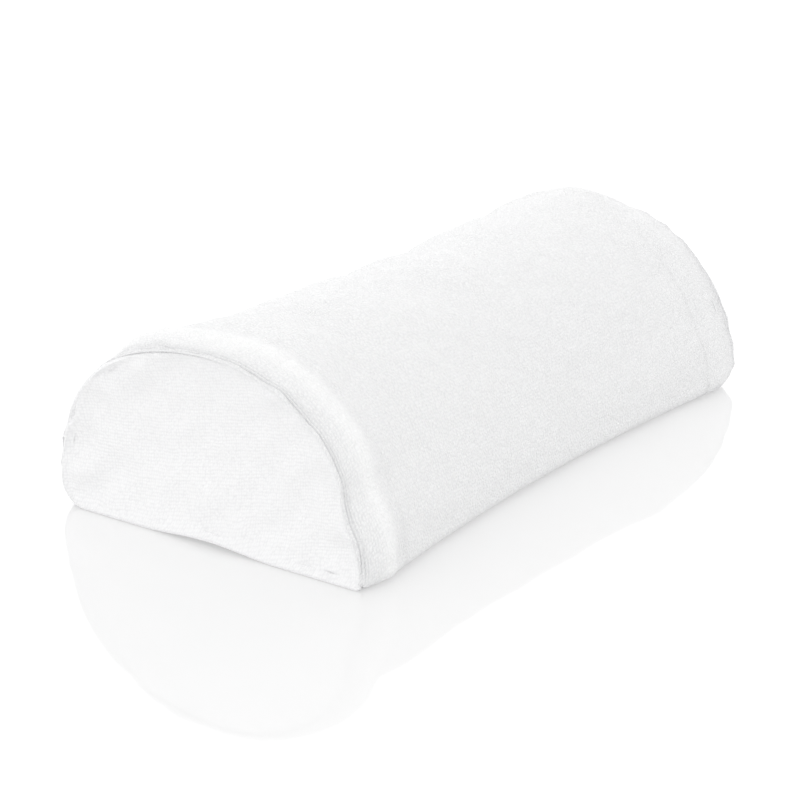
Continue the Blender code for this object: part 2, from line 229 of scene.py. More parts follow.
def outward_normals(points):
    """Normals of a grid that lies round the bolster's length, pointing away from its middle."""
    normals = grid_normals(points)
    return normals if (normals[..., 1:] * points[..., 1:]).sum() > 0 else -normals


def capped(rows, columns):
    """Faces of a closed tube of rings, with both of its ends capped."""
    caps = [list(range(columns))[::-1], list(range((rows - 1) * columns, rows * columns))]
    return grid_faces(rows, columns, closed=True).tolist() + caps


def arc_lengths(points, axis):
    """Distance along an axis of a grid, measured from its first row or column."""
    steps = np.linalg.norm(np.diff(points, axis=axis), axis=2)
    return np.concatenate([np.zeros_like(np.take(steps, [0], axis)), np.cumsum(steps, axis)], axis)


def new_piece(name, points, faces, made_of, slot, weave=None, body=BODY, **marks):
    """A mesh object. weave holds its cloth's own flat coordinates; marks are other values at its points."""
    mesh = bpy.data.meshes.new(name)
    mesh.from_pydata(np.asarray(points).reshape(-1, 3), [], faces)
    mesh.shade_smooth()
    if weave is not None:
        held = mesh.attributes.new("weave", "FLOAT_VECTOR", "POINT")
        flat = np.asarray(weave, np.float32).reshape(-1, 2)
        held.data.foreach_set("vector", np.column_stack([flat, 0 * flat[:, 0]]).ravel())
    for mark, values in marks.items():
        held = mesh.attributes.new(mark, "FLOAT", "POINT")
        held.data.foreach_set("value", np.asarray(values, np.float32).ravel())
    mesh.materials.append(made_of)
    piece = bpy.data.objects.new(name, mesh)
    bpy.context.scene.collection.objects.link(piece)
    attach(piece, body)
    return piece


def tube(path, radius, sides=6, closed=True):
    """(points, faces) of a round cord along a path."""
    path = np.asarray(path, float)
    if closed:
        ahead = np.roll(path, -1, 0) - np.roll(path, 1, 0)
    else:
        ahead = np.gradient(path, axis=0)
    ahead /= np.linalg.norm(ahead, axis=1)[:, None]
    side = np.empty_like(path)
    frame_side = np.cross(ahead[0], (0.31, 0.52, 0.79))
    for i, way in enumerate(ahead):
        frame_side = frame_side - way * (frame_side @ way)
        frame_side /= np.linalg.norm(frame_side)
        side[i] = frame_side
    up = np.cross(ahead, side)
    turn = np.linspace(0, math.tau, sides, endpoint=False)[:, None, None]
    radius = np.broadcast_to(radius, len(path))[:, None]
    points = (path + radius * (np.cos(turn) * side + np.sin(turn) * up)).transpose(1, 0, 2)
    rows = len(path)
    if not closed:
        return points, capped(rows, sides)
    last = (rows - 1) * sides
    twist = int(np.argmin(np.linalg.norm(points[0] - points[-1, 0], axis=1)))
    j = np.arange(sides)
    join = np.stack([last + j, last + (j + 1) % sides, (j + 1 + twist) % sides, (j + twist) % sides], 1)
    return points, np.concatenate([grid_faces(rows, sides, closed=True), join]).tolist()


def simulated(points, pinned, pressure, frames=20, stiffness=12.0):
    """Where a cloth over this grid of points ends up under a pressure, with the pinned ones held."""
    rows, columns = points.shape[:2]
    mesh = bpy.data.meshes.new("cloth")
    mesh.from_pydata(points.reshape(-1, 3), [], grid_faces(rows, columns))
    obj = bpy.data.objects.new("cloth", mesh)
    bpy.context.scene.collection.objects.link(obj)
    held = obj.vertex_groups.new(name="held")
    for i, weight in enumerate(pinned.ravel()):
        if weight > 0:
            held.add([i], float(weight), "REPLACE")
    cloth = obj.modifiers.new("Cloth", "CLOTH")
    cloth.settings.quality = 6
    cloth.settings.mass = 0.15
    cloth.settings.tension_stiffness = stiffness
    cloth.settings.compression_stiffness = stiffness
    cloth.settings.shear_stiffness = stiffness / 3
    cloth.settings.bending_stiffness = 0.4
    cloth.settings.vertex_group_mass = "held"
    cloth.settings.use_pressure = True
    cloth.settings.uniform_pressure_force = pressure
    cloth.settings.effector_weights.gravity = 0
    cloth.collision_settings.use_collision = False
    cloth.point_cache.frame_start, cloth.point_cache.frame_end = 1, frames
    for number in range(1, frames + 1):
        bpy.context.scene.frame_set(number)
    shaped = obj.evaluated_get(bpy.context.evaluated_depsgraph_get()).to_mesh()
    moved = np.empty(rows * columns * 3, np.float32)
    shaped.vertices.foreach_get("co", moved)
    bpy.context.scene.frame_set(1)
    bpy.data.objects.remove(obj)
    bpy.data.meshes.remove(mesh)
    return moved.reshape(points.shape).astype(float)


def finer(field, rows, columns):
    """A coarse field resampled smoothly to more rows and columns."""
    for axis, count in ((0, rows), (1, columns)):
        field = np.moveaxis(field, axis, 0)
        at = np.linspace(0, len(field) - 1, count)
        i = np.minimum(at.astype(int), len(field) - 2)
        t = (at - i).reshape((-1,) + (1,) * (field.ndim - 1))
        padded = np.concatenate([2 * field[:1] - field[1:2], field, 2 * field[-1:] - field[-2:-1]])
        a, b, c, d = (padded[i + k] for k in range(4))
        field = b + t / 2 * (c - a + t * (2 * a - 5 * b + 4 * c - d + t * (3 * (b - c) + d - a)))
        field = np.moveaxis(field, 0, axis)
    return field


# Materials

class Nodes:
    """Short ways to add nodes to a material."""

    def __init__(self, name):
        self.material = bpy.data.materials.new(name)
        self.material.use_nodes = True
        self.tree = self.material.node_tree
        self.shader = self.tree.nodes["Principled BSDF"]

    def add(self, kind, inputs=(), **settings):
        node = self.tree.nodes.new(kind)
        for key, value in settings.items():
            setattr(node, key, value)
        for key, value in dict(inputs).items():
            self.put(node.inputs[key], value)
        return node

    def put(self, socket, value):
        if isinstance(value, bpy.types.NodeSocket):
            self.tree.links.new(value, socket)
        else:
            socket.default_value = value

    def math(self, operation, *values, clamp=False):
        return self.add("ShaderNodeMath", enumerate(values), operation=operation, use_clamp=clamp).outputs[0]

    def ramp(self, value, low, high, out_low=0.0, out_high=1.0):
        inputs = {"Value": value, "From Min": low, "From Max": high, "To Min": out_low, "To Max": out_high}
        return self.add("ShaderNodeMapRange", inputs, interpolation_type="SMOOTHSTEP").outputs["Result"]

    def mix(self, share, low, high):
        node = self.add("ShaderNodeMix", data_type="RGBA")
        for socket, value in zip((node.inputs[0], node.inputs[6], node.inputs[7]), (share, low, high)):
            self.put(socket, value)
        return node.outputs[2]

    def finish(self, colour, height, distance, shader):
        """Sets the shader's own sockets, and a bump from a height that runs from 0 to 1."""
        for key, value in dict(shader, **{"Base Color": colour}).items():
            self.put(self.shader.inputs[key], value)
        bump = self.add("ShaderNodeBump", {"Strength": 1.0, "Distance": distance, "Height": height})
        self.put(self.shader.inputs["Normal"], bump.outputs["Normal"])
        return self.material


COURSE = 0.00145              # pitch of the knit's rows
WALE = 0.00115                # pitch of the loops in a row


def terry(name, wild_crown, wild_flank, depth, crevice_shade):
    """Looped terry. Where it is wild, its loops don't keep to their rows."""
    n = Nodes(name)
    cloth = n.add("ShaderNodeAttribute", attribute_name="weave").outputs["Vector"]
    crest = n.add("ShaderNodeAttribute", attribute_name="crest").outputs["Fac"]
    flank = n.add("ShaderNodeAttribute", attribute_name="flank").outputs["Fac"]
    wild = n.ramp(flank, 0.0, 1.0, wild_crown, wild_flank)
    drift = n.add("ShaderNodeTexNoise", {"Vector": cloth, "Scale": 160.0, "Detail": 1.0}).outputs["Color"]
    drift = n.add("ShaderNodeVectorMath", {0: drift, 1: (0.5, 0.5, 0.5)}, operation="SUBTRACT").outputs[0]
    drift = n.add("ShaderNodeVectorMath", {0: drift, "Scale": n.math("MULTIPLY", wild, 0.0016)},
                  operation="SCALE").outputs[0]
    placed = n.add("ShaderNodeVectorMath", {0: cloth, 1: drift}, operation="ADD").outputs[0]
    loops = (1 / COURSE, 1 / WALE, 0)
    placed = n.add("ShaderNodeVectorMath", {0: placed, 1: loops}, operation="MULTIPLY").outputs[0]
    cell = n.add("ShaderNodeTexVoronoi", {"Vector": placed, "Scale": 1.0, "Randomness": wild},
                 voronoi_dimensions="2D", feature="F1")
    loop = n.ramp(cell.outputs["Distance"], 0.75, 0.05)
    shade = n.math("MULTIPLY", n.add("ShaderNodeSeparateColor", {0: cell.outputs["Color"]}).outputs[0], 0.35)
    fibre = n.add("ShaderNodeTexNoise", {"Vector": cloth, "Scale": 2600.0, "Detail": 2.0}).outputs["Fac"]
    pile = n.add("ShaderNodeTexNoise", {"Vector": cloth, "Scale": 420.0, "Detail": 2.0}).outputs["Fac"]
    height = n.math("MULTIPLY_ADD", loop, 0.55, n.math("MULTIPLY", shade, 0.6))
    height = n.math("MULTIPLY_ADD", fibre, 0.18, height)
    height = n.math("MULTIPLY_ADD", pile, 0.30, height)
    # painted shade: the colour darkens where the loops are low, in the crevices between them
    light = n.ramp(height, 0.15, 0.95)
    colour = n.mix(light, (crevice_shade, crevice_shade, crevice_shade + 0.008, 1), (0.915, 0.915, 0.918, 1))
    patch = n.add("ShaderNodeTexNoise", {"Vector": cloth, "Scale": 22.0, "Detail": 3.0}).outputs["Fac"]
    colour = n.mix(n.ramp(patch, 0.35, 0.7, 0.0, 0.10), colour, (0.85, 0.85, 0.86, 1))
    # painted highlight: whitens the terry along the front side of the ridge
    colour = n.mix(n.math("MULTIPLY", crest, 0.75), colour, (0.97, 0.97, 0.97, 1))
    # painted shade: darkens the valleys between the fine ribs beside the end seam
    groove = n.add("ShaderNodeAttribute", attribute_name="groove").outputs["Fac"]
    colour = n.mix(n.math("MULTIPLY", groove, 0.55), colour, (0.66, 0.66, 0.67, 1))
    return n.finish(colour, height, depth, {"Roughness": 0.95, "Sheen Weight": 0.35,
                                            "Sheen Roughness": 0.55, "Specular IOR Level": 0.15})


def plain_cloth(name, colour, crevice_shade, pitch, depth=0.0002):
    """Plain-woven cloth or tape, in the object's own coordinates."""
    n = Nodes(name)
    place = n.add("ShaderNodeTexCoord").outputs["Object"]
    threads = []
    for direction in ("X", "Y"):
        wave = n.add("ShaderNodeTexWave", {"Vector": place, "Scale": math.pi / 10 / pitch, "Distortion": 0.6,
                                           "Detail": 1.0, "Detail Scale": 2.0}, bands_direction=direction)
        threads.append(wave.outputs["Fac"])
    weave = n.math("MULTIPLY", *threads)
    slub = n.add("ShaderNodeTexNoise", {"Vector": place, "Scale": 300.0, "Detail": 3.0}).outputs["Fac"]
    height = n.math("MULTIPLY_ADD", slub, 0.35, n.math("MULTIPLY", weave, 0.65))
    # painted shade: darker where the weave is low, between the threads; the slub's share is the yarn's own
    # uneven tone
    return n.finish(n.mix(height, crevice_shade, colour), height, depth, {"Roughness": 0.85, "Sheen Weight": 0.15})


def thread_material(name, colour, crevice_shade):
    n = Nodes(name)
    place = n.add("ShaderNodeTexCoord").outputs["Object"]
    twist = n.add("ShaderNodeTexWave", {"Vector": place, "Scale": 900.0, "Distortion": 3.0, "Detail": 2.0},
                  bands_direction="DIAGONAL").outputs["Fac"]
    # painted shade: darker in the grooves of the twist
    return n.finish(n.mix(twist, crevice_shade, colour), twist, 0.00006, {"Roughness": 0.55, "Sheen Weight": 0.2})


def nylon(name):
    n = Nodes(name)
    place = n.add("ShaderNodeTexCoord").outputs["Object"]
    haze = n.add("ShaderNodeTexNoise", {"Vector": place, "Scale": 900.0, "Detail": 3.0}).outputs["Fac"]
    return n.finish(n.mix(haze, (0.80, 0.80, 0.82, 1), (0.90, 0.90, 0.91, 1)), haze, 0.00002,
                    {"Roughness": 0.35, "Subsurface Weight": 0.15})


def metal(name):
    n = Nodes(name)
    place = n.add("ShaderNodeTexCoord").outputs["Object"]
    cast = n.add("ShaderNodeTexNoise", {"Vector": place, "Scale": 1500.0, "Detail": 4.0}).outputs["Fac"]
    worn = n.add("ShaderNodeTexNoise", {"Vector": place, "Scale": 260.0, "Detail": 2.0}).outputs["Fac"]
    colour = n.mix(worn, (0.58, 0.59, 0.61, 1), (0.78, 0.79, 0.81, 1))
    return n.finish(colour, cast, 0.00003, {"Metallic": 1.0, "Roughness": n.ramp(worn, 0.2, 0.8, 0.2, 0.38)})


def foam_material(name):
    n = Nodes(name)
    place = n.add("ShaderNodeTexCoord").outputs["Object"]
    cell = n.add("ShaderNodeTexVoronoi", {"Vector": place, "Scale": 1300.0},
                 feature="SMOOTH_F1").outputs["Distance"]
    pore = n.ramp(cell, 0.1, 0.55)
    # painted shade: darker in the pits at the middle of the cells
    colour = n.mix(pore, (0.74, 0.66, 0.42, 1), (0.93, 0.87, 0.68, 1))
    return n.finish(colour, pore, 0.0004, {"Roughness": 0.9, "Subsurface Weight": 0.1})


# the last number of each is the grey of the painted crevice shade
TERRY_WRAP = terry("terry_wrap", 0.95, 0.70, 0.00050, 0.83)
TERRY_END = terry("terry_end", 0.45, 0.45, 0.00022, 0.84)
THREAD = thread_material("thread", (0.94, 0.94, 0.94, 1), (0.80, 0.80, 0.81, 1))
COTTON = plain_cloth("liner_cotton", (0.90, 0.89, 0.86, 1), (0.78, 0.77, 0.74, 1), 0.0006)
TAPE = plain_cloth("zip_tape", (0.91, 0.91, 0.92, 1), (0.78, 0.78, 0.80, 1), 0.0005)
NYLON = nylon("zip_coil")
METAL = metal("zip_metal")
FOAM = foam_material("foam")


# Terry cover

LIP_ROWS = 0.0012             # pitch of the fine ribs beside the end seam
LIP_FADE = 0.0028
LIP_RIB = 0.00042
HOLLOW = 0.00030              # a shallow hollow along the ridge's inner side
HOLLOW_FROM_RIDGE, HOLLOW_REACH = 0.0070, 0.0035
WRAP_RIPPLES = ((0.00035, 0.055, 1), (0.00010, 0.012, 2))   # depth, wavelength, seed
SWELL = 0.0007                # the most that the cloth simulation may move the cover


def wrap_surface():
    """Grid of the cover from front to rear: points, each row's share of body (1, or 0 in the fold), and the
    x of the rim's edge at each point.
    """
    stations = np.concatenate([np.linspace(0, RIM_START, 92)[:-1], np.linspace(RIM_START, END_X, 60)])
    stations = np.concatenate([-stations[:0:-1], stations])
    outlines = np.array([full_outline(x, AROUND // 2, slit_edge(x) + FOLD + 0.00005) for x in stations])
    halves = []
    for side in (-1, 1):
        keep = stations * side >= 0
        x, outline = stations[keep] * side, outlines[keep]
        order = np.argsort(x)
        x, outline = x[order], outline[order]
        end = outline[-1]
        tuck = TUCK * rolled(end)
        inside = np.linalg.norm(outline[-1] - outline[-8], axis=1) / (x[-1] - x[-8])
        lean = np.arctan(inside) * (1 - 0.6 * rolled(end))
        edge = END_X - FOLD * (1 - np.sin(lean)) - tuck
        inner = x[x < RIM_START - 0.0001]
        rim = RIM_START + (edge - RIM_START) * (1 - (1 - np.linspace(0, 1, 56)) ** 1.35)[:, None]
        at = np.concatenate([np.broadcast_to(inner[:, None], (len(inner), len(edge))), rim])
        y = np.stack([np.interp(at[:, k], x, outline[:, k, 0]) for k in range(len(edge))], 1)
        z = np.stack([np.interp(at[:, k], x, outline[:, k, 1]) for k in range(len(edge))], 1)
        flat = np.stack([y, z], 2)
        turns = lean + (math.pi - lean) * np.linspace(0, 1, FOLD_STEPS + 1)[1:, None]
        fold_x = edge + FOLD * (np.sin(turns) - np.sin(lean))
        fold_in = FOLD * (np.cos(lean) - np.cos(turns))
        run = np.array([0.25, 0.6, 1.0])[:, None] * FOLD_RUN
        fold_x = np.concatenate([fold_x, fold_x[-1] - run])
        fold_in = np.concatenate([fold_in, np.broadcast_to(fold_in[-1], (3, len(edge)))])
        folded = flat[-1] - in_plane_normals(flat[-1]) * fold_in[..., None]
        x_all = np.concatenate([at, fold_x])
        points = np.concatenate([x_all[..., None] * side, np.concatenate([flat, folded])], 2)
        on_body = np.concatenate([np.ones(len(at)), np.zeros(len(fold_x))])
        rim_edge = np.broadcast_to(edge, points.shape[:2])
        halves.append((points, on_body, rim_edge))
    (front, front_body, front_edge), (rear, rear_body, rear_edge) = halves
    points = np.concatenate([front[:0:-1], rear])
    return (points, np.concatenate([front_body[:0:-1], rear_body]),
            np.concatenate([front_edge[:0:-1], rear_edge]))


def with_slit_folds(points):
    """The same grid with its edges along the zip folded in and run on inside."""
    turns = np.linspace(0, math.pi, 6)[1:]
    run = np.array([0.4, 1.0]) * FOLD_RUN
    flaps = []
    for corner, side in ((points[:, 0], 1), (points[:, -1], -1)):
        y = corner[:, 1:2] - side * FOLD * np.sin(turns)
        z = corner[:, 2:3] + FOLD * (1 - np.cos(turns))
        y = np.concatenate([y, y[:, -1:] + side * run], 1)
        z = np.concatenate([z, np.repeat(z[:, -1:], len(run), 1)], 1)
        flaps.append(np.stack([np.broadcast_to(corner[:, :1], y.shape), y, z], 2))
    return np.concatenate([flaps[0][:, ::-1], points, flaps[1]], 1), len(turns) + len(run)


def swell(points):
    """How the stuffed cover settles: a cloth simulation's movement, held at the rims and along the base."""
    coarse = points[::6, ::6]
    normals = outward_normals(coarse)
    near_end = smooth(0.016, 0.004, END_X - np.abs(coarse[..., 0]))
    near_base = smooth(0.012, 0.002, coarse[..., 2])
    slack = ripples(coarse, 0.040, 5)[..., None] * normals * 0.0006
    moved = simulated(coarse + slack, np.maximum(near_end, near_base), 4.0)
    out = ((moved - coarse) * normals).sum(2)
    return finer(out, *points.shape[:2])


def cover_wrap():
    points, on_body, edge = wrap_surface()
    points, added = with_slit_folds(points)
    edge = np.pad(edge, ((0, 0), (added, added)), mode="edge")
    normals = outward_normals(points)
    crown = points.shape[1] // 2
    course = arc_lengths(points, 1)
    course -= course[:, crown:crown + 1]
    wale = arc_lengths(points, 0)
    wale -= wale[len(points) // 2]
    body = np.repeat(on_body[:, None], points.shape[1], 1)
    body[:, :added] = body[:, -added:] = 0
    from_zip = course[:, -1:] - np.abs(course)
    free = smooth(0.008, 0.020, from_zip) * body
    high = smooth(0.001, 0.010, points[..., 2]) * free
    from_rim = edge - np.abs(points[..., 0])
    cloth = np.stack([course, wale], 2)

    out = ridge_at(points[..., 0], points[..., 2]) * body
    out -= HOLLOW * np.exp(-((from_rim - RIM - HOLLOW_FROM_RIDGE) / HOLLOW_REACH) ** 2) * high
    for depth, wavelength, seed in WRAP_RIPPLES:
        out += depth * ripples(cloth, wavelength, seed) * high
    near = np.exp(-(from_rim.clip(0) / LIP_FADE) ** 2)
    out += 0.00025 * ripples(cloth * (1, 0.25), 0.010, 3) * near * high
    wander = 0.25 * ripples(cloth * (1, 0.5), 0.030, 6)
    ribs = np.cos(math.tau * (from_rim / LIP_ROWS + wander))
    out += LIP_RIB * ribs * near * high
    out += 0.00006 * ripples(cloth, 0.0026, 4) * free
    out += np.clip(swell(points), -SWELL, SWELL) * high
    points = points + normals * out[..., None]
    points[..., 2] = np.maximum(points[..., 2], 0.0)

    # painted highlight: a band along the front side of the ridges, which whitens the terry's colour
    crest = ridge_at(points[..., 0], points[..., 2], HIGHLIGHT_SHIFT) / RIDGE["front"] * body
    flank = smooth(0.082, 0.060, points[..., 2])
    # the last mark passed is painted shade in the valleys between the ribs beside the end seam
    piece = new_piece("terry_wrap", points, grid_faces(*points.shape[:2]), TERRY_WRAP, "terry", cloth,
                      crest=crest, flank=flank, groove=(0.5 - 0.5 * ribs) * near * high)
    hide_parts("cover_wrap")
    return piece


LIP_DROP = 0.0018             # the panel's edge lies this far behind the wrap's lip
DISH = 0.0085                 # how deep the middle of the panel is pressed in
ROWS_TILT = 0.115             # the knit's rows tilt on one side of the panel,
ROWS_LEVEL_FROM = 0.035       # up to here,
ROWS_BEND = 0.025             # over about this much
PANEL_COLUMNS, PANEL_ROWS = 300, 164


def panel_border(side):
    """The end seam as a closed line: y, z, inward y and z, roll, the wrap's edge and the panel's own x."""
    station = side * (END_X - FOLD / 2)
    line = full_outline(station, 700, 0.0)
    over = rolled(line)
    inward = -in_plane_normals(line)
    edge = END_X - FOLD / 2 - TUCK * over
    face = END_X - LIP_DROP + (LIP_DROP + 0.0002) * over
    return np.column_stack([line, inward, over, edge, face])[:-1]


def edge_path(over, edge, face):
    """Inset and x of the panel's edge from its face back into the seam, at each place round the border."""
    bend = np.linspace(0, math.pi / 2, 7)[:, None]
    radius, wall = 0.0008, 2 * FOLD + 0.00015
    shown_in = wall + radius * (1 - np.sin(bend)) + 0 * face
    shown_x = face - radius * (1 - np.cos(bend))
    down = np.linspace(0, 1, 8)[1:, None] * 0.003
    shown_in = np.concatenate([shown_in, wall + 0 * down * face])
    shown_x = np.concatenate([shown_x, shown_x[-1] - down])
    radius, wall = 0.0016, -0.0002
    hidden_in = wall + radius * (1 - np.sin(bend)) + 0 * face
    hidden_x = face - radius * (1 - np.cos(bend))
    stop = edge + FOLD + 0.0001
    tuck = np.linspace(0, math.pi / 2, 5)[:, None]
    tuck_in = wall + FOLD * (1 - np.cos(tuck)) + 0 * face
    tuck_x = stop + FOLD * (1 - np.sin(tuck))
    run = np.array([[0.0012], [0.0030]])
    hidden_in = np.concatenate([hidden_in, tuck_in, tuck_in[-1] + run])
    hidden_x = np.concatenate([hidden_x, np.minimum(tuck_x, hidden_x[-1]), tuck_x[-1] + 0 * run])
    return shown_in + (hidden_in - shown_in) * over, shown_x + (hidden_x - shown_x) * over


def coons(bottom, top, left, right):
    """A grid of values between four edges, by rows from bottom to top."""
    u = np.linspace(0, 1, len(bottom))[None, :, None]
    v = np.linspace(0, 1, len(left))[:, None, None]
    lines = (1 - v) * bottom[None] + v * top[None] + (1 - u) * left[:, None] + u * right[:, None]
    corners = ((1 - u) * (1 - v) * bottom[0] + u * (1 - v) * bottom[-1]
               + (1 - u) * v * top[0] + u * v * top[-1])
    return lines - corners


def panel_grid(side, columns, rows):
    """panel_border's columns spread over the end panel, with y and z inside the edge's bend."""
    border = panel_border(side)
    inset, _ = edge_path(border[:, 4], border[:, 5], border[:, 6])
    border[:, :2] += border[:, 2:4] * inset[0][:, None]
    crown = len(border) // 2
    top = border[crown, 1]
    left, right = border[:crown], border[crown:]
    corners = []
    for half in (left, right):
        lowest = int(np.argmin(half[:, 1] - np.abs(half[:, 0])))
        shoulder = int(np.argmin(np.abs(half[:, 1] - 0.62 * top) - np.abs(half[:, 0])))
        corners.append((lowest, shoulder))
    (low_l, high_l), (low_r, high_r) = corners[0], [c + crown for c in corners[1]]
    rights = border[high_r:low_r + 1][::-1]
    lefts = border[low_l:high_l + 1]
    tops = border[high_l:high_r + 1]
    bottoms = np.concatenate([border[low_r:], border[:low_l + 1]])[::-1]
    return coons(evenly(bottoms, columns + 1), evenly(tops, columns + 1), evenly(lefts, rows + 1),
                 evenly(rights, rows + 1))


def hollow(plane):
    """How deep the end panel is pressed in, as a share: a cloth pinned round its edge under a pressure."""
    depth = np.zeros(plane.shape[:2])
    for _ in range(3000):
        depth[1:-1, 1:-1] = (depth[2:, 1:-1] + depth[:-2, 1:-1] + depth[1:-1, 2:] + depth[1:-1, :-2] + 1) / 4
    depth /= depth.max()
    start = np.concatenate([-0.006 * depth[..., None], plane], 2)
    start[..., 0] += 0.0005 * ripples(plane, 0.020, 11) * (depth > 0)
    moved = np.abs(simulated(start, (depth == 0).astype(float), 1.5, stiffness=8.0)[..., 0])
    return moved / moved.max()


def cover_end(name, node, side):
    rows, columns = PANEL_ROWS + 1, PANEL_COLUMNS + 1
    plan = panel_grid(side, PANEL_COLUMNS, PANEL_ROWS)
    share = finer(hollow(panel_grid(side, 60, 34)[..., :2]), rows, columns).clip(0)
    depth = DISH * share ** 0.8
    y, z = plan[..., 0], plan[..., 1]
    aside = -side * y
    aside = aside - ROWS_LEVEL_FROM
    course = z - ROWS_TILT * (np.sqrt(aside ** 2 + ROWS_BEND ** 2) - aside)
    cloth = np.stack([course, y], 2)
    inner = smooth(0.0, 0.0012, DISH * share)
    phase = course / COURSE + 0.10 * ripples(cloth, 0.018, 21) + 0.06 * ripples(cloth, 0.006, 22)
    rib = 0.00006 * np.cos(math.tau * phase) * inner
    lumps = 0.00018 * ripples(cloth, 0.030, 23) + 0.00004 * ripples(cloth, 0.0030, 24)
    gathers = 0.00025 * ripples(cloth, 0.009, 25) * np.exp(-DISH * share / 0.0012)
    x = plan[..., 6] - depth + rib + (lumps + gathers) * inner
    points = np.stack([side * x, y, z], 2).reshape(-1, 3)
    weave = cloth.reshape(-1, 2)

    grid = np.arange(rows * columns).reshape(rows, columns)
    loop = np.concatenate([grid[0, :-1], grid[:-1, -1], grid[-1, :0:-1], grid[:0:-1, 0]])
    border = plan.reshape(-1, plan.shape[-1])[loop]
    inset, path_x = edge_path(border[:, 4], border[:, 5], border[:, 6])
    parts, weaves, faces, previous = [points], [weave], [grid_faces(rows, columns)], loop
    count = len(points)
    for k in range(1, len(inset)):
        shift = (inset[k] - inset[0])[:, None] * border[:, 2:4]
        parts.append(np.column_stack([side * path_x[k], border[:, :2] + shift]))
        weaves.append(weave[loop] + shift[:, ::-1])
        here = np.arange(count, count + len(loop))
        faces.append(np.stack([previous, here, np.roll(here, -1), np.roll(previous, -1)], 1))
        previous, count = here, count + len(loop)
    piece = new_piece(name, np.concatenate(parts), np.concatenate(faces), TERRY_END, "terry",
                      np.concatenate(weaves))
    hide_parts(node)
    return piece


# Cushion

CHANNEL_RISE = 0.0060         # the zip presses the cushion's base in by this
CHANNEL_HALF, CHANNEL_RAMP = 0.019, 0.013
LINER_INSET = 0.0025
COTTON_THICKNESS = 0.0008
GAP = 0.0003
LINER_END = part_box("liner_wrap")[1].x
LINER_END_INSET = 0.0059
WRINKLE = 0.00012
CORD_TURNS = 130              # of the twist round a piping cord
FOAM_BEND = 0.0025


def inner_line(x, inset, part, count):
    """(y, z) points of the cushion at x, moved in by inset: over its crown and sides, or along its base."""
    halves = []
    for side, sign in (("left", 1), ("right", -1)):
        points = half_outline(x, 0.0, side)
        whole = np.concatenate([points[::-1], points[1:] * (-1, 1)])
        moved = points - in_plane_normals(whole)[:len(points)][::-1] * inset
        split = CROWN_POINTS + BEND_POINTS
        line = moved[:split] if part == "crown" else moved[split - 1:]
        if part == "base":
            rise = CHANNEL_RISE * smooth(CHANNEL_HALF + CHANNEL_RAMP, CHANNEL_HALF, line[:, 0])
            line = np.column_stack([line[:, 0], inset + np.maximum(rise, base_z(line[:, 0]))])
        halves.append(evenly(line, count) * (sign, 1))
    left, right = halves
    if part == "crown":
        return np.concatenate([left[::-1], right[1:]])
    return np.concatenate([left, right[-2::-1]])


def skin(x_values, inset, part, count):
    """A grid over the cushion's crown and sides or its base, with shallow wrinkles."""
    lines = [inner_line(x, inset, part, count) for x in x_values]
    points = np.array([np.column_stack([np.full(len(line), x), line]) for x, line in zip(x_values, lines)])
    wrinkles = ripples(points, 0.030, 61) + 0.4 * ripples(points, 0.010, 62)
    return points - outward_normals(points) * WRINKLE * np.abs(wrinkles)[..., None]


def doubled(points, thickness):
    """Both faces of a cloth and its rims: the sheet, turned over at one edge and run back inside."""
    inner = points - outward_normals(points) * thickness
    closed = np.concatenate([points, inner[:, ::-1]], 1)
    rows, columns = closed.shape[:2]
    faces = grid_faces(rows, columns, closed=True).tolist()
    half = columns // 2
    for row, flip in ((0, 1), (rows - 1, -1)):
        start = row * columns
        faces += [[start + j, start + j + 1, start + columns - 2 - j, start + columns - 1 - j][::flip]
                  for j in range(half - 1)]
    return closed, faces


def liner():
    """The cotton round the foam: one sheet over the crown and sides, and one along the base."""
    x = np.linspace(-LINER_END, LINER_END, 140)
    points = skin(x, LINER_INSET, "crown", 80)
    crown = new_piece("liner_shell", *doubled(points, COTTON_THICKNESS), COTTON, "liner_cotton")
    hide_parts("liner_wrap")
    points = skin(x, LINER_INSET, "base", 50)
    points[..., 1] *= 1 - GAP / np.abs(points[..., 1]).max()
    base = new_piece("liner_floor", *doubled(points, COTTON_THICKNESS), COTTON, "liner_cotton")
    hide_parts("liner_base")


def closed_line(x, inset, count):
    """(y, z) points all the way round the cushion at x."""
    crown, base = inner_line(x, inset, "crown", count), inner_line(x, inset, "base", count // 3)
    return np.concatenate([crown, base[-2:0:-1]])


def piping(name, node, side):
    """The corded seam at the liner's end, with the fine twist of its cord."""
    low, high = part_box(node)
    x, radius = (low.x + high.x) / 2, (high.x - low.x) / 2
    line = closed_line(x, LINER_INSET + radius, 240)
    line = evenly(np.concatenate([line, line[:1]]), 521)[:-1]
    beads = radius * (0.97 + 0.03 * np.cos(np.arange(len(line)) / len(line) * math.tau * CORD_TURNS))
    path = np.column_stack([np.full(len(line), x), line])
    piece = new_piece(name, *tube(path, beads, sides=14), COTTON, "liner_cotton")
    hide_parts(node)
    return piece


def liner_end(name, node, side):
    """The liner's end: a sheet of cotton puckered a little along the piping."""
    low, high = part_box(node)
    outer, inner = (high.x, low.x) if side > 0 else (low.x, high.x)
    line = closed_line((low.x + high.x) / 2, LINER_END_INSET, 90)
    middle = np.array([0.0, line[:, 1].mean()])
    shares = np.linspace(0.02, 1, 30)[:, None, None]
    sheet = middle + shares * (line - middle)
    pucker = WRINKLE * np.abs(ripples(sheet, 0.012, 63)) * shares[..., 0] ** 2
    outside = np.dstack([outer - side * pucker, sheet])
    inside = np.dstack([np.full_like(pucker, inner), sheet])
    rings = np.concatenate([outside, inside[::-1]])
    piece = new_piece(name, rings, capped(*rings.shape[:2]), COTTON, "liner_cotton")
    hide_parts(node)
    return piece


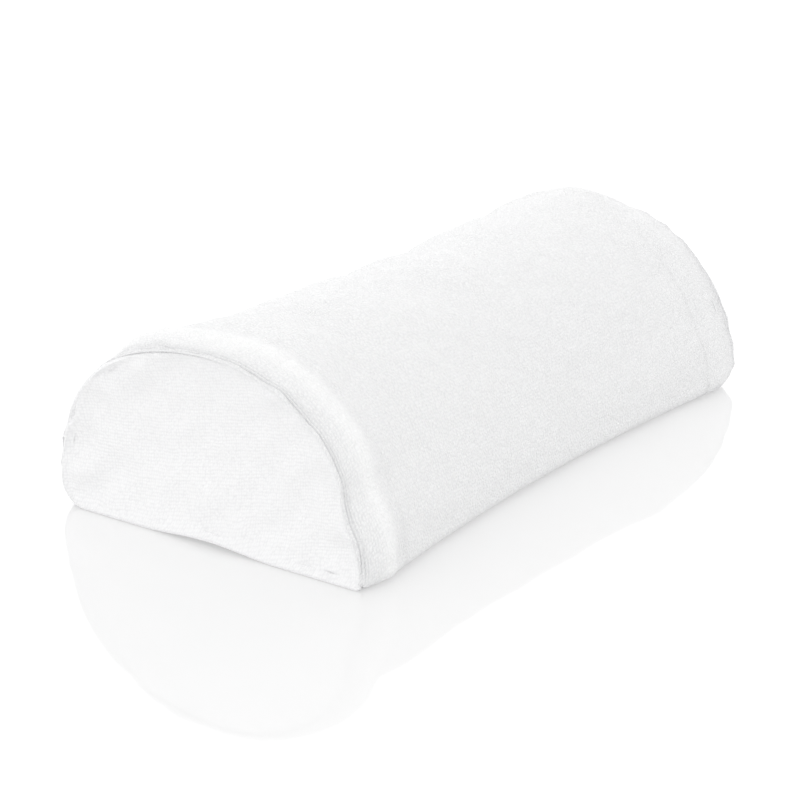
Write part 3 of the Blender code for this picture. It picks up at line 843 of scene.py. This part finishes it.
def foam_core():
    """The foam block, with rounded end edges."""
    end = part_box("foam_core")[1].x
    x_values, insets = [], []
    deep = LINER_INSET + COTTON_THICKNESS + GAP
    for turn in np.linspace(0, math.pi / 2, 6)[:-1]:
        x_values.append(end - FOAM_BEND * (1 - math.cos(turn)))
        insets.append(deep + FOAM_BEND * (1 - math.sin(turn)))
    x_values, insets = x_values + [end - FOAM_BEND], insets + [deep]
    middle = np.linspace(-end + FOAM_BEND, end - FOAM_BEND, 100)[1:-1]
    x_values = [-x for x in x_values] + list(middle) + x_values[::-1]
    insets = insets + [deep] * len(middle) + insets[::-1]
    rings = []
    for x, inset in zip(x_values, insets):
        line = closed_line(x, inset, 100)
        rings.append(np.column_stack([np.full(len(line), x), line]))
    piece = new_piece("foam_block", np.array(rings), capped(len(rings), len(rings[0])), FOAM, "foam")
    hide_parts("foam_core")
    return piece


# Seams and zip

OVERLOCK_PITCH = 0.0024
OVERLOCK_REACH = 0.0005
THREAD_RADIUS = 0.00021


def end_seam(name, node, side):
    """The overlock thread that zigzags over the seam between the wrap and an end panel."""
    border = panel_border(side)
    length = np.linalg.norm(np.diff(border[:, :2], axis=0, append=border[:1, :2]), axis=1).sum()
    turns = round(length / OVERLOCK_PITCH)
    steps = 8
    line = evenly(np.concatenate([border, border[:1]]), turns * steps + 1)[:-1]
    y, z, in_y, in_z, over, edge, face = line.T
    phase = np.arange(turns * steps) / steps * math.tau
    swing = OVERLOCK_REACH * np.sin(phase + 0.5 * ripples(line[:, :2], 0.012, 31))
    inset = (2 * FOLD + swing) * (1 - over) + 0.0013 * over
    x = (END_X - LIP_DROP + 0.0003 - 0.0003 * np.cos(2 * phase)) * (1 - over) + (edge + FOLD + swing) * over
    x -= 0.0070 * over * (1 - over)
    path = np.column_stack([side * x, y + in_y * inset, z + in_z * inset])
    piece = new_piece(name, *tube(path, THREAD_RADIUS, sides=5), THREAD, "thread")
    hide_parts(node)
    return piece


def base_z(y):
    near = np.clip(np.abs(y) / ARCH_HALF[0], 0, 1)
    return ARCH[0] * (1 + np.cos(math.pi * near)) / 2


STITCH_PITCH = 0.0030


def topstitch(name, node, side):
    """A row of lockstitches that dip into the base beside the zip."""
    low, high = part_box(node)
    y = (low.y + high.y) / 2
    x = np.arange(low.x, high.x, STITCH_PITCH / 12)
    dip = np.maximum(0, np.cos(x / STITCH_PITCH * math.tau)) ** 6
    z = base_z(y) - 0.00012 + 0.0010 * dip
    path = np.column_stack([x, np.full_like(x, y) + 0.00008 * ripples(x[:, None], 0.004, 41), z])
    piece = new_piece(name, *tube(path, THREAD_RADIUS, sides=6, closed=False), THREAD, "thread")
    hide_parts(node)
    return piece


COIL_PITCH = 0.00125
COIL_WIRE = 0.00026


def zip_coil(name, node, side):
    """A monofilament wound in a flattened spiral along its tape."""
    low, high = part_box(node)
    turns = int((high.x - low.x - 2 * COIL_WIRE) / COIL_PITCH)
    steps = 14
    turn = np.arange(turns * steps + 1) / steps
    x = low.x + COIL_WIRE + turn * COIL_PITCH + (COIL_PITCH / 2 if side > 0 else 0)
    inner, outer = sorted((abs(low.y), abs(high.y)))
    angle = turn * math.tau
    across = (inner + outer) / 2 - (outer - inner - 2 * COIL_WIRE) / 2 * np.cos(angle)
    up = (high.z - low.z - 2 * COIL_WIRE) / 2 * np.sin(angle)
    path = np.column_stack([np.minimum(x, high.x - COIL_WIRE), side * across, (low.z + high.z) / 2 + up])
    piece = new_piece(name, *tube(path, COIL_WIRE, sides=6, closed=False), NYLON, "zip_coil")
    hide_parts(node)
    return piece


def zip_tape(name, node, side):
    """A woven tape: ribs of warp along it, thinning to both of its edges."""
    low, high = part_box(node)
    columns, rows = 61, 401
    y = np.linspace(low.y, high.y, columns)
    x = np.linspace(low.x, high.x, rows)
    across, lengthwise = np.meshgrid(y, x)
    thick = (high.z - low.z) / 2
    ribs = 0.00007 * np.cos(across / 0.00075 * math.tau) + 0.00003 * np.cos(lengthwise / 0.0011 * math.tau)
    edge = np.minimum(across - low.y, high.y - across) / 0.0004
    half = (thick - 0.0001 + ribs) * np.sqrt(np.clip(edge, 0.05, 1))
    middle = (low.z + high.z) / 2 + 0.0001 * ripples(np.stack([across, lengthwise], 2), 0.03, 51)
    top = np.stack([lengthwise, across, middle + half], 2)
    bottom = np.stack([lengthwise, across, middle - half], 2)
    closed = np.concatenate([top, bottom[:, ::-1]], 1)
    piece = new_piece(name, closed, capped(rows, 2 * columns), TAPE, "zip_tape")
    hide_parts(node)
    return piece


def round_metal(obj):
    """Welds a CAD metal piece and rounds its edges."""
    weld = obj.modifiers.new("Weld", "WELD")
    weld.merge_threshold = 0.00001
    bevel = obj.modifiers.new("Rounded edges", "BEVEL")
    bevel.width = 0.00022
    bevel.segments = 3
    bevel.limit_method = "ANGLE"
    obj.modifiers.new("Even shading", "WEIGHTED_NORMAL")


# Floor, light and camera

SKY, SKY_TOP = 1.23, 0.96     # the studio's brightness, low down and overhead
BACKDROP = 0.75               # how much brighter it is low down behind
KEY = 0.27                    # a soft light from the front end's side
FLOOR_GAP = 0.0002
TABLE = 0.27                  # the floor is a white table, lit a little from below


def stage():
    mesh = bpy.data.meshes.new("floor")
    size = 6.0
    corners = [(-size, -size, 0), (size, -size, 0), (size, size, 0), (-size, size, 0)]
    mesh.from_pydata(corners, [], [(0, 1, 2, 3)])
    n = Nodes("floor")
    place = n.add("ShaderNodeTexCoord").outputs["Object"]
    grain = n.add("ShaderNodeTexNoise", {"Vector": place, "Scale": 40.0, "Detail": 2.0}).outputs["Fac"]
    n.finish(n.mix(grain, (0.60, 0.60, 0.60, 1), (0.61, 0.61, 0.61, 1)), grain, 0.0,
             {"Roughness": 0.05, "IOR": 1.6, "Emission Color": (1, 1, 1, 1), "Emission Strength": TABLE})
    mesh.materials.append(n.material)
    floor = bpy.data.objects.new("floor", mesh)
    floor.location.z = -FLOOR_GAP
    bpy.context.scene.collection.objects.link(floor)


def lights():
    """A white studio: even light all round, a brighter backdrop low down behind, and a soft key."""
    world = bpy.data.worlds.new("studio")
    world.use_nodes = True
    tree = world.node_tree
    shown = tree.nodes["Background"]
    shown.inputs["Color"].default_value = (1, 1, 1, 1)
    way = tree.nodes.new("ShaderNodeTexCoord").outputs["Generated"]

    def facing(direction, low, high, out_low, out_high):
        dot = tree.nodes.new("ShaderNodeVectorMath")
        dot.operation = "DOT_PRODUCT"
        dot.inputs[1].default_value = Vector(direction).normalized()
        ramp = tree.nodes.new("ShaderNodeMapRange")
        ramp.interpolation_type = "SMOOTHSTEP"
        for key, value in (("From Min", low), ("From Max", high), ("To Min", out_low), ("To Max", out_high)):
            ramp.inputs[key].default_value = value
        tree.links.new(way, dot.inputs[0])
        tree.links.new(dot.outputs["Value"], ramp.inputs["Value"])
        return ramp.outputs["Result"]

    def combined(operation, a, b):
        node = tree.nodes.new("ShaderNodeMath")
        node.operation = operation
        tree.links.new(a, node.inputs[0])
        tree.links.new(b, node.inputs[1])
        return node.outputs[0]

    behind = facing((0.80, 0.60, 0.0), 0.45, 0.80, 0.0, BACKDROP)
    low = facing((0, 0, 1), 0.68, 0.52, 0.0, 1.0)
    sky = facing((0, 0, 1), 0.15, 0.95, SKY, SKY_TOP)
    tree.links.new(combined("ADD", sky, combined("MULTIPLY", behind, low)), shown.inputs["Strength"])
    bpy.context.scene.world = world
    key = bpy.data.lights.new("key", "SUN")
    key.energy = KEY
    key.angle = math.radians(60)
    lamp = bpy.data.objects.new("key", key)
    lamp.rotation_mode = "QUATERNION"
    lamp.rotation_quaternion = Vector((-0.93, 0.08, 0.30)).to_track_quat("Z", "Y")
    bpy.context.scene.collection.objects.link(lamp)


def camera():
    azimuth, elevation = math.radians(-54.72), math.radians(18.49)
    distance = 1.042
    back = Vector((math.sin(azimuth) * math.cos(elevation), -math.cos(azimuth) * math.cos(elevation),
                   math.sin(elevation)))
    data = bpy.data.cameras.new("camera")
    data.lens = 104.6
    data.sensor_width = 36.0
    data.shift_x, data.shift_y = -0.0251, -0.0678
    data.clip_start, data.clip_end = 0.05, 30.0
    eye = bpy.data.objects.new("camera", data)
    eye.location = (CAD_BOX[0] + CAD_BOX[1]) / 2 + back * distance
    eye.rotation_mode = "QUATERNION"
    eye.rotation_quaternion = (-back).to_track_quat("-Z", "Y")
    bpy.context.scene.collection.objects.link(eye)
    bpy.context.scene.camera = eye


for node in ("zip_slider", "zip_pull_tab", "zip_top_stop_left", "zip_top_stop_right", "zip_bottom_stop",
             "care_label"):
    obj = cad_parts[node]
    obj.data.materials.clear()
    obj.data.materials.append(COTTON if node == "care_label" else METAL)
    if node != "care_label":
        round_metal(obj)

liner()
foam_core()
cover_wrap()
for end, side in (("front", -1), ("rear", 1)):
    cover_end(f"terry_end_{end}", f"cover_end_{end}", side)
    end_seam(f"overlock_{end}", f"end_seam_{end}", side)
    piping(f"piping_{end}", f"liner_piping_{end}", side)
    liner_end(f"liner_cap_{end}", f"liner_end_{end}", side)
for hand, side in (("left", 1), ("right", -1)):
    zip_tape(f"tape_{hand}", f"zip_tape_{hand}", side)
    zip_coil(f"coil_{hand}", f"zip_coil_{hand}", side)
    topstitch(f"topstitch_{hand}", f"zip_topstitch_{hand}", side)
stage()
lights()
camera()
bpy.context.scene.view_settings.view_transform = "Standard"
